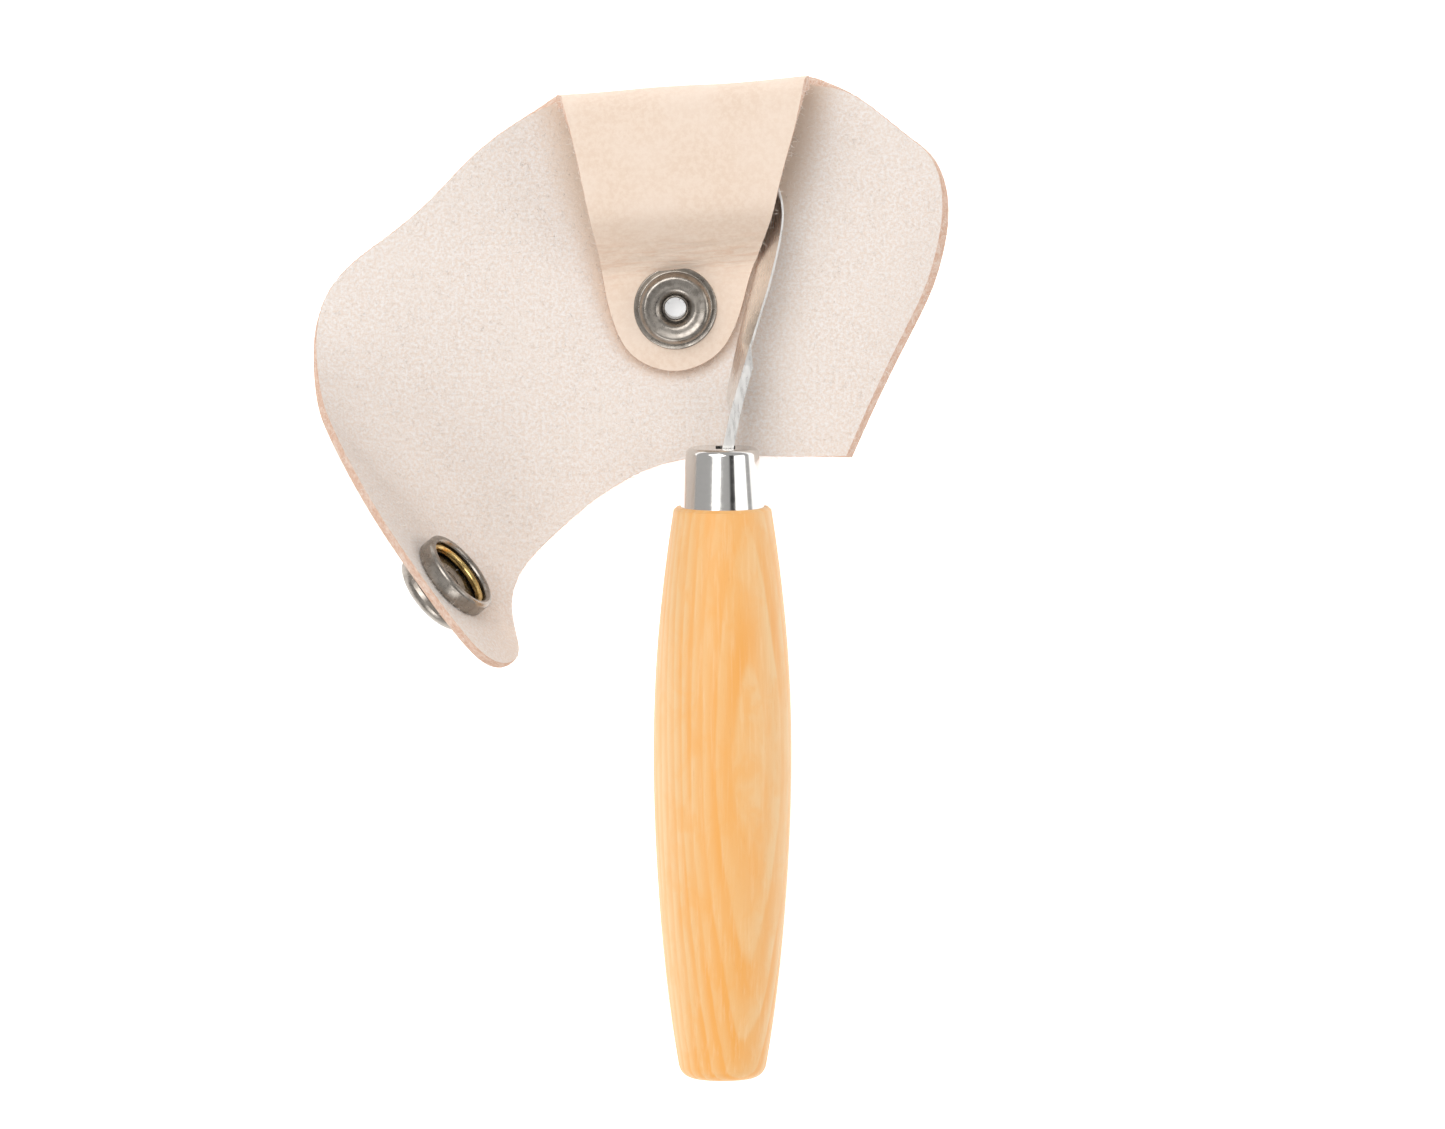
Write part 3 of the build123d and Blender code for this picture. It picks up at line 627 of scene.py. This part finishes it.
def nap_group():
    """A node group that grows short, bent fibres where the leather is rough."""
    group = bpy.data.node_groups.new("leather_nap", "GeometryNodeTree")
    face = group.interface
    face.new_socket("Geometry", in_out="INPUT", socket_type="NodeSocketGeometry")
    for label, default in (("Density", 9.0e5), ("Fibre length", 0.0011), ("Fibre width", 0.03)):
        face.new_socket(label, in_out="INPUT", socket_type="NodeSocketFloat").default_value = default
    face.new_socket("Seed", in_out="INPUT", socket_type="NodeSocketInt")
    face.new_socket("Material", in_out="INPUT", socket_type="NodeSocketMaterial")
    face.new_socket("Geometry", in_out="OUTPUT", socket_type="NodeSocketGeometry")

    def add(kind, settings=None, links=()):
        node = group.nodes.new(kind)
        for key, value in (settings or {}).items():
            setattr(node, key, value)
        for socket, value in links:
            feed(group.links, node.inputs[socket], value)
        return node

    given = add("NodeGroupInput").outputs
    grain = add("GeometryNodeInputMaterialIndex").outputs[0]
    fuzzy = add("FunctionNodeCompare", {"data_type": "INT", "operation": "NOT_EQUAL"},
                (("A", grain), (3, GRAIN))).outputs[0]
    place = add("GeometryNodeInputPosition").outputs[0]
    height = add("ShaderNodeSeparateXYZ", None, ((0, place),)).outputs[2]
    clear = add("FunctionNodeCompare", {"data_type": "FLOAT", "operation": "GREATER_THAN"},
                ((0, height), (1, given["Fibre length"]))).outputs[0]
    rough = add("FunctionNodeBooleanMath", {"operation": "AND"}, ((0, fuzzy), (1, clear))).outputs[0]
    spread = add("GeometryNodeDistributePointsOnFaces", None,
                 (("Mesh", given["Geometry"]), ("Selection", rough), ("Density", given["Density"]),
                  ("Seed", given["Seed"]))).outputs
    line = add("GeometryNodeCurvePrimitiveBezierSegment", None,
               (("Resolution", 4), ("Start", (0, 0, -0.04)), ("Start Handle", (0, 0, 0.35)),
                ("End Handle", (0.25, 0, 0.75)), ("End", (0.55, 0.1, 0.85)))).outputs[0]
    along = add("GeometryNodeSplineParameter").outputs["Factor"]
    taper = add("ShaderNodeMath", {"operation": "SUBTRACT"}, ((0, 1.0), (1, along))).outputs[0]
    profile = add("GeometryNodeCurvePrimitiveCircle", None,
                  (("Resolution", 3), ("Radius", given["Fibre width"]))).outputs[0]
    tube = add("GeometryNodeSetCurveRadius", None, (("Curve", line), ("Radius", taper))).outputs[0]
    fibre = add("GeometryNodeCurveToMesh", None, (("Curve", tube), ("Profile Curve", profile),
                                                  ("Fill Caps", True))).outputs[0]
    spin = add("FunctionNodeRandomValue", {"data_type": "FLOAT_VECTOR"},
               ((0, (-1.25, -1.25, 0.0)), (1, (1.25, 1.25, 6.283)), ("Seed", given["Seed"]))).outputs[0]
    turn = add("FunctionNodeRotateRotation", {"rotation_space": "LOCAL"},
               (("Rotation", spread["Rotation"]), ("Rotate By", spin))).outputs[0]
    long = add("FunctionNodeRandomValue", {"data_type": "FLOAT"},
               ((2, 0.25), (3, 1.0), ("Seed", given["Seed"]))).outputs[1]
    size = add("ShaderNodeMath", {"operation": "MULTIPLY"},
               ((0, long), (1, given["Fibre length"]))).outputs[0]
    placed = add("GeometryNodeInstanceOnPoints", None,
                 (("Points", spread["Points"]), ("Instance", fibre), ("Rotation", turn),
                  ("Scale", size))).outputs[0]
    real = add("GeometryNodeRealizeInstances", None, (("Geometry", placed),)).outputs[0]
    done = add("GeometryNodeSetMaterial", None,
               (("Geometry", real), ("Material", given["Material"]))).outputs[0]
    group.links.new(done, add("NodeGroupOutput").inputs[0])
    return group


def grown(leather, name, group, settings, material):
    """The fibres that GROUP grows on LEATHER, as a plain mesh of their own."""
    source = bpy.data.objects.new(name + "_source", leather.data.copy())
    bpy.context.scene.collection.objects.link(source)
    modifier = source.modifiers.new("nap", "NODES")
    modifier.node_group = group
    values = {"Density": settings.density, "Fibre length": settings.fibre_length,
              "Fibre width": settings.fibre_width, "Seed": settings.seed, "Material": material}
    for item in group.interface.items_tree:
        if item.in_out == "INPUT" and item.name in values:
            modifier[item.identifier] = values[item.name]
    evaluated = source.evaluated_get(bpy.context.evaluated_depsgraph_get())
    mesh = bpy.data.meshes.new_from_object(evaluated)
    mesh.name = name
    source.modifiers.clear()
    bpy.data.objects.remove(source)
    obj = bpy.data.objects.new(name, mesh)
    bpy.context.scene.collection.objects.link(obj)
    return obj


# ---------------------------------------------------------------- settings


def length(name, description, default):
    """A setting in metres."""
    return FloatProperty(name=name, description=description, default=default, min=0.0, unit="LENGTH",
                         precision=5)


def colour(name, description, default):
    """A setting that is a colour."""
    return FloatVectorProperty(name=name, description=description, default=default, subtype="COLOR",
                               size=3, min=0.0, max=1.0)


class LeatherSettings(bpy.types.PropertyGroup):
    step: length("Mesh step", "Distance between the leather's mesh points", 0.0009)
    flesh: colour("Flesh side", "Main colour of the inner side", paint(236, 230, 226))
    flesh_fleck: colour("Flecks", "Darker flecks of the inner side", paint(226, 210, 197))
    flesh_strand: colour("Strands", "Pale loose fibres of the inner side", paint(243, 240, 238))
    flesh_cloud: colour("Clouds", "Faint broad patches of the inner side", paint(231, 220, 211))
    # Colour of the painted shade on the inner side beside and under the flap's edges.
    flesh_shade: colour("Painted shade", "Inner side shade-painted by the loop's edges", paint(215, 192, 172))
    grain: colour("Grain side", "Main colour of the outer side", paint(231, 211, 193))
    grain_pore: colour("Pores", "Pores of the outer side", paint(225, 202, 182))
    grain_cloud: colour("Grain clouds", "Broad patches of the outer side", paint(234, 216, 200))
    # Colour of the painted shade at the bottom of the flap's creases.
    grain_crease_shade: colour("Creases", "Bottom of the creases of the outer side", paint(214, 168, 136))
    cut: colour("Cut edge", "Main colour of the cut edges", paint(226, 200, 182))
    cut_dark: colour("Cut edge, dark", "Dark fibres of the cut edges", paint(207, 165, 140))
    cut_pale: colour("Cut edge, pale", "Pale fibres of the cut edges", paint(234, 218, 206))


class NapSettings(bpy.types.PropertyGroup):
    density: FloatProperty(name="Density", description="Fibres on a square metre", default=9.0e5, min=0.0)
    fibre_length: length("Fibre length", "Longest raised fibre", 0.0011)
    fibre_width: FloatProperty(name="Fibre width", default=0.03, min=0.0,
                               description="A fibre's root radius as a share of its length")
    fibre: colour("Fibre", "Colour of the raised fibres", paint(241, 233, 226))
    seed: IntProperty(name="Seed", description="Seed of the fibres' places", default=7)


class KnifeSettings(bpy.types.PropertyGroup):
    ring_spacing: length("Ring spacing", "Distance between the wood's growth rings", 0.0015)
    ring_tilt: FloatProperty(name="Ring tilt", default=24.0,
                             description="Turn of the growth rings about the handle, in degrees")
    wood_early: colour("Early wood", "Pale part of a growth ring", paint(233, 195, 145))
    wood_late: colour("Late wood", "Dark part of a growth ring", paint(235, 163, 82))
    # Colour of the painted shading along the handle's middle.
    wood_round_shading: colour("Round shading", "Deeper colour along the middle of the handle", paint(238, 172, 90))
    wood_figure: colour("Figure", "Broad darker patches of the wood", paint(237, 167, 86))
    wood_fibre: colour("Fibres", "Pale fibres of the wood", paint(240, 204, 157))
    wood_pore: colour("Pores", "Pores of the wood", paint(216, 152, 88))
    steel: colour("Steel", "Colour of the blade and the ferrule", (0.86, 0.84, 0.81))


class SnapSettings(bpy.types.PropertyGroup):
    metal: colour("Snap metal", "Antique nickel of the stud, socket and cap", paint(158, 151, 143))
    tarnish: colour("Tarnish", "Darker patches of the snap's metal", paint(112, 105, 96))
    brass: colour("Spring", "Brass of the ring spring", paint(214, 184, 122))


class StageSettings(bpy.types.PropertyGroup):
    floor: colour("Floor", "Colour of the floor", (0.95, 0.95, 0.95))
    floor_glow: FloatProperty(name="Floor glow", default=0.62, min=0.0,
                              description="Light that the floor itself gives off")
    key: FloatProperty(name="Lights", default=2.15, min=0.0,
                       description="Power in watts that each light's share is taken of")
    fill: FloatProperty(name="Fill", description="Strength of the room's light", default=0.52, min=0.0)
    card_tilt: FloatProperty(name="Dark card", default=29.0,
                             description="Degrees from overhead of the card that steel reflects")
    distance: length("Camera distance", "Distance of the camera from the object", 1.3)


# ---------------------------------------------------------------- the leather's pieces

# The CAD node that each piece of leather takes the place of
REPLACED = {
    "leather_centre": "back_panel", "leather_flap": "loop_flap", "leather_left_strip": "left_strip",
    "leather_left_wing": "left_wing", "leather_tab": "snap_tab", "leather_right_strip": "right_strip",
    "leather_right_lip": "right_lip",
}
# Where each bending piece's bend begins and ends, for the fibres that bend with it
BLEND_ENDS = {}


def loop_foot():
    """How far along the fold the loop begins and ends where it leaves the panel."""
    t, d = along_fold(spline(FLAP_EDGE, 0.5))
    near = np.abs(d + BEND_OUTER)
    half = len(t) // 2
    return t[:half][np.argmin(near[:half])], t[half:][np.argmin(near[half:])]


def sheet_rim(step):
    """The flat outline of the panel and its wings, counter-clockwise, from the fold's left end."""
    left, bottom, right = spline(LEFT_EDGE, step), spline(BOTTOM_EDGE, step), spline(RIGHT_EDGE, step)
    left_in, right_in = loop_foot()
    inner = [FOLD_LEFT + FOLD_RUN * t - FOLD_OUT * BEND_OUTER for t in (right_in, left_in)]
    return np.vstack((left[:-1], bottom[:-1], right, inner))


def flap_painted_shade(points):
    """How much painted shade the panel gets beside the flap's edge and under the flap."""
    edge = spline(FLAP_EDGE, 1.5)
    away = rim_distance(points, edge)
    under = inside(points, edge)
    t, d = along_fold(points)
    width = 2.6 + 5.4 * smooth((d + 46) / 34)
    band = (1 - smooth(away / width)) * 0.9
    # Painted shade: full strength under the flap, fading out across a band beside its edge.
    return np.where(under, 0.9, band)


def thin_edge(points):
    """How much thinner the rolled-up wing's leather is pared towards its free edge."""
    past_seam = (points - LEFT_CREASE) @ LEFT_OUT - LEFT_STRIP / 2
    near = 1 - smooth(rim_distance(points, sheet_rim(1.5)) / PARED_WIDTH)
    return PARING * near * smooth(past_seam / PARING_RUN)


def foot_of_slope(points):
    """Where the flap's grain side is creased, at the foot of its slope."""
    s = points[:, 1]
    foot = np.interp(-LOOP_SLOPE_END, -LOOP_D[BEND_STEPS:], LOOP_S[BEND_STEPS:])
    return np.exp(-(((s - foot + 2.5) / 5.0) ** 2)) * 0.9


class SHEATH_OT_leather(bpy.types.Operator):
    """Builds the sheath's leather, divided where its folds begin and end"""

    bl_idname = "sheath.leather"
    bl_label = "Leather"

    def execute(self, context):
        settings = context.scene.sheath_leather
        materials = (flesh_material(settings), grain_material(settings), cut_material(settings))
        step = settings.step / MM
        rim = sheet_rim(step)
        across = unit(LEFT_ROLL["across"])
        seam_tab = (across * TAB_SEAM, across)
        seam_left = (LEFT_CREASE - LEFT_OUT * STRIP_IN, LEFT_OUT)
        seam_left_middle = (LEFT_CREASE + LEFT_OUT * LEFT_STRIP / 2, LEFT_OUT)
        seam_right = (RIGHT_CREASE - RIGHT_OUT * STRIP_IN, RIGHT_OUT)
        seam_right_middle = (RIGHT_CREASE + RIGHT_OUT * RIGHT_STRIP / 2, RIGHT_OUT)
        tangent = (FOLD_LEFT - FOLD_OUT * BEND_OUTER, FOLD_OUT)
        post = [(STUD, POST_RADIUS)]

        centre = cut_away(cut_away(rim, *seam_left, False), *seam_right, False)
        left_strip = cut_away(cut_away(rim, *seam_left, True), *seam_left_middle, False)
        left_wing = cut_away(cut_away(rim, *seam_left_middle, True), *seam_tab, False)
        right_strip = cut_away(cut_away(rim, *seam_right, True), *seam_right_middle, False)
        right_lip = cut_away(rim, *seam_right_middle, True)
        tab = cut_away(rim, *seam_tab, True)
        pieces = {
            "leather_centre": (centre, post, (seam_left, seam_right, tangent), flap_painted_shade, None),
            "leather_left_strip": (left_strip, (), (seam_left, seam_left_middle), flap_painted_shade, None),
            "leather_left_wing": (left_wing, (), (seam_left_middle, seam_tab), None, thin_edge),
            "leather_tab": (tab, (), (seam_tab,), None, thin_edge),
            "leather_right_strip": (right_strip, (), (seam_right, seam_right_middle, tangent), flap_painted_shade,
                                    None),
            "leather_right_lip": (right_lip, (), (seam_right_middle,), None, None),
        }
        built = {}
        for name, (outline, holes, seams, shade, thin) in pieces.items():
            built[name] = leather_piece(name, outline, panel_place, materials, step, holes, seams, shade,
                                        None, thin)

        low = [(t, 0.0) for t in loop_foot()]
        edge = loop_rim(step)
        flap_rim = np.vstack((low, [(FOLD_LENGTH, LOOP_SIDE)], edge[::-1], [(0.0, LOOP_SIDE)]))
        stud_t, stud_d = along_fold(STUD[None, :])
        stud_s = np.interp(-stud_d[0], -LOOP_D[BEND_STEPS:], LOOP_S[BEND_STEPS:])
        holes = [(np.array((stud_t[0], stud_s)), POST_RADIUS)]
        foot_seam = (np.zeros(2), np.array((0.0, 1.0)))
        built["leather_flap"] = leather_piece("leather_flap", flap_rim, loop_place, materials, step, holes,
                                              (foot_seam,), None, foot_of_slope)

        for name in ("leather_centre", "leather_flap"):
            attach(built[name], "sheath")
        left_second = LEFT_CREASE + LEFT_OUT * LEFT_STRIP
        right_second = RIGHT_CREASE + RIGHT_OUT * RIGHT_STRIP
        left_spread, right_spread = LEFT_OUT * LEFT_FOLD_SPREAD, RIGHT_OUT * RIGHT_FOLD_SPREAD
        for name, a, b, crease, spread in (
                ("leather_left_strip", "sheath", "left_strip", LEFT_CREASE, left_spread),
                ("leather_left_wing", "left_strip", "left_wing", left_second, left_spread),
                ("leather_right_strip", "sheath", "right_strip", RIGHT_CREASE, right_spread),
                ("leather_right_lip", "right_strip", "right_lip", right_second, right_spread)):
            BLEND_ENDS[name] = (in_frame(level3(crease - spread)), in_frame(level3(crease + spread)))
            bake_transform(built[name], a, b, *BLEND_ENDS[name])
        roll_end = LEFT_ROLL["start"] + LEFT_ROLL["radius"] * math.radians(LEFT_ROLL["turn"])
        ends = panel_place(np.array((across * (TAB_SEAM + 0.4), across * roll_end)))[0]
        BLEND_ENDS["leather_tab"] = (in_frame(ends[0]), in_frame(ends[1]))
        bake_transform(built["leather_tab"], "left_wing", "tab", *BLEND_ENDS["leather_tab"])
        for name, node in REPLACED.items():
            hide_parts(node)
        return {"FINISHED"}


class SHEATH_OT_nap(bpy.types.Operator):
    """Grows the short raised fibres on the leather's flesh side and cut edges"""

    bl_idname = "sheath.nap"
    bl_label = "Raised fibres"

    def execute(self, context):
        settings = context.scene.sheath_nap
        fibre = fibre_material(settings)
        group = nap_group()
        for name in [o.name for o in bpy.context.scene.objects if o.name.startswith("leather_")]:
            leather = bpy.data.objects[name]
            fibres = grown(leather, name.replace("leather_", "nap_"), group, settings, fibre)
            if "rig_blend" in leather:
                a, b = leather["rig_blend"]
                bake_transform(fibres, a, b, *BLEND_ENDS[name])
            else:
                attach(fibres, leather["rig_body"])
        return {"FINISHED"}


class KNIFE_OT_wood(bpy.types.Operator):
    """Gives the handle its oiled birch"""

    bl_idname = "knife.wood"
    bl_label = "Handle"

    def execute(self, context):
        sides = [corner[0] for corner in frame["nodes"]["handle"].bound_box]
        axis = (min(sides) + max(sides)) / 2
        cover("handle", wood_material(context.scene.sheath_knife, axis))
        return {"FINISHED"}


class KNIFE_OT_steel(bpy.types.Operator):
    """Gives the ferrule its polish and the blade its ground and brushed steel"""

    bl_idname = "knife.steel"
    bl_label = "Ferrule and blade"

    def execute(self, context):
        steel = context.scene.sheath_knife.steel
        # Painted shade: the ferrule's steel is a darker copy of the blade's steel, standing in for its darker
        # reflections; dark also colours the blade's random patches.
        dark = [c * 0.8 for c in steel]
        darker = [c * 0.7 for c in steel]
        shaded_polished = metal_material("ferrule_steel", dark, darker, 0.13, (90.0, 2600.0, 90.0), 0.10, 0.2)
        ground = metal_material("blade_steel", steel, dark, 0.30, (1800.0, 260.0, 1800.0), 0.45, 0.35)
        cover("ferrule", shaded_polished)
        cover("blade", ground)
        return {"FINISHED"}


class SHEATH_OT_snap(bpy.types.Operator):
    """Gives the ring snap its antique nickel and its brass spring"""

    bl_idname = "sheath.snap"
    bl_label = "Ring snap"

    def execute(self, context):
        settings = context.scene.sheath_snap
        even = (900.0, 900.0, 900.0)
        metal = metal_material("snap_metal", settings.metal, settings.tarnish, 0.30, even, 0.12, 0.5)
        for node in ("snap_stud", "stud_post", "socket_shell", "cap_shell", "cap_post"):
            cover(node, metal)
        dull = [c * 0.5 for c in settings.brass]
        brass = metal_material("spring_brass", settings.brass, dull, 0.25, even, 0.2, 0.7)
        cover("socket_spring", brass)
        return {"FINISHED"}


VIEW_WIDTH = 0.2535
CAMERA_LEAN = math.radians(6.0)
# Each soft light: (name, place from the object's middle, size, power as a share of the lights' setting)
LIGHTS = (
    ("key", (-0.35, 0.52, 1.1), (0.9, 0.9), 4.2),
    ("side", (0.9, 0.1, 0.7), (0.5, 0.9), 1.1),
    ("low", (-0.3, -0.95, 0.75), (0.7, 0.6), 1.8),
)
CARD_AWAY, CARD_WIDTH, CARD_RUN = 0.9, 0.24, 0.7


def flat_sheet(name, corners, material):
    """A stage piece of one face over four CORNERS."""
    mesh = bpy.data.meshes.new(name)
    mesh.from_pydata(corners, [], [(0, 1, 2, 3)])
    mesh.materials.append(material)
    obj = bpy.data.objects.new(name, mesh)
    bpy.context.scene.collection.objects.link(obj)


class SHEATH_OT_stage(bpy.types.Operator):
    """Sets out the pale floor, the soft lights and the camera"""

    bl_idname = "sheath.stage"
    bl_label = "Stage"

    def execute(self, context):
        settings = context.scene.sheath_stage
        scene = context.scene
        middle = Vector(in_frame((0.0, -10.4, 8.0)))
        reach, low = 3.0, -0.0001
        corners = [(-reach, -reach, low), (reach, -reach, low), (reach, reach, low), (-reach, reach, low)]
        floor = Tree("floor").finish(Base_Color=settings.floor, Roughness=0.9, Specular_IOR_Level=0.1,
                                     Emission_Color=settings.floor, Emission_Strength=settings.floor_glow)
        flat_sheet("floor", corners, floor)
        for name, place, size, share in LIGHTS:
            data = bpy.data.lights.new(name, "AREA")
            data.shape, data.size, data.size_y, data.energy = "RECTANGLE", *size, settings.key * share
            lamp = bpy.data.objects.new(name, data)
            lamp.location = middle + Vector(place)
            lamp.rotation_euler = (-Vector(place)).to_track_quat("-Z", "Y").to_euler()
            scene.collection.objects.link(lamp)
        tilt = math.radians(settings.card_tilt)
        centre = middle + CARD_AWAY * Vector((math.sin(tilt), 0.0, math.cos(tilt)))
        side = Vector((math.cos(tilt), 0.0, -math.sin(tilt))) * CARD_WIDTH / 2
        ends = Vector((0.0, CARD_RUN / 2, 0.0))
        corners = [centre - side - ends, centre - side + ends, centre + side + ends, centre + side - ends]
        black = Tree("dark_card").finish(Base_Color=(0.03, 0.03, 0.03), Roughness=1.0)
        flat_sheet("dark_card", corners, black)
        world = bpy.data.worlds.new("room")
        scene.world = world
        world.use_nodes = True
        back = world.node_tree.nodes["Background"]
        back.inputs["Color"].default_value = (1.0, 1.0, 1.0, 1.0)
        back.inputs["Strength"].default_value = settings.fill
        data = bpy.data.cameras.new("camera")
        data.sensor_width = 36.0
        data.lens = data.sensor_width * settings.distance / VIEW_WIDTH
        data.clip_start, data.clip_end = 0.05, 20.0
        camera = bpy.data.objects.new("camera", data)
        camera.location = middle + settings.distance * Vector(
            (0.0, math.sin(CAMERA_LEAN), math.cos(CAMERA_LEAN)))
        camera.rotation_euler = (-CAMERA_LEAN, 0.0, 0.0)
        scene.collection.objects.link(camera)
        scene.camera = camera
        scene.view_settings.view_transform = "Standard"
        return {"FINISHED"}


class SHEATH_PT_build(bpy.types.Panel):
    """Lists the steps that build the knife and its sheath, with their settings"""

    bl_idname = "SHEATH_PT_build"
    bl_label = "Hook knife"
    bl_space_type = "VIEW_3D"
    bl_region_type = "UI"
    bl_category = "Hook knife"

    def draw(self, context):
        for step in STEPS:
            self.layout.operator(step.bl_idname)
        for attribute, group in SETTINGS.items():
            box = self.layout.box()
            for key in group.__annotations__:
                box.prop(getattr(context.scene, attribute), key)


SETTINGS = {"sheath_leather": LeatherSettings, "sheath_nap": NapSettings, "sheath_knife": KnifeSettings,
            "sheath_snap": SnapSettings, "sheath_stage": StageSettings}
STEPS = (SHEATH_OT_leather, SHEATH_OT_nap, KNIFE_OT_wood, KNIFE_OT_steel, SHEATH_OT_snap, SHEATH_OT_stage)


def cover(node, material):
    """Gives a CAD node its material."""
    obj = frame["nodes"][node]
    obj.data.materials.clear()
    obj.data.materials.append(material)


def register():
    for cls in (*SETTINGS.values(), *STEPS, SHEATH_PT_build):
        bpy.utils.register_class(cls)
    for attribute, group in SETTINGS.items():
        setattr(bpy.types.Scene, attribute, PointerProperty(type=group))


def unregister():
    for attribute in SETTINGS:
        delattr(bpy.types.Scene, attribute)
    for cls in (SHEATH_PT_build, *reversed(STEPS), *reversed(SETTINGS.values())):
        bpy.utils.unregister_class(cls)


def main():
    register()
    bpy.ops.sheath.leather()
    bpy.ops.sheath.nap()
    bpy.ops.knife.wood()
    bpy.ops.knife.steel()
    bpy.ops.sheath.snap()
    bpy.ops.sheath.stage()


if __name__ == "__main__":
    main()
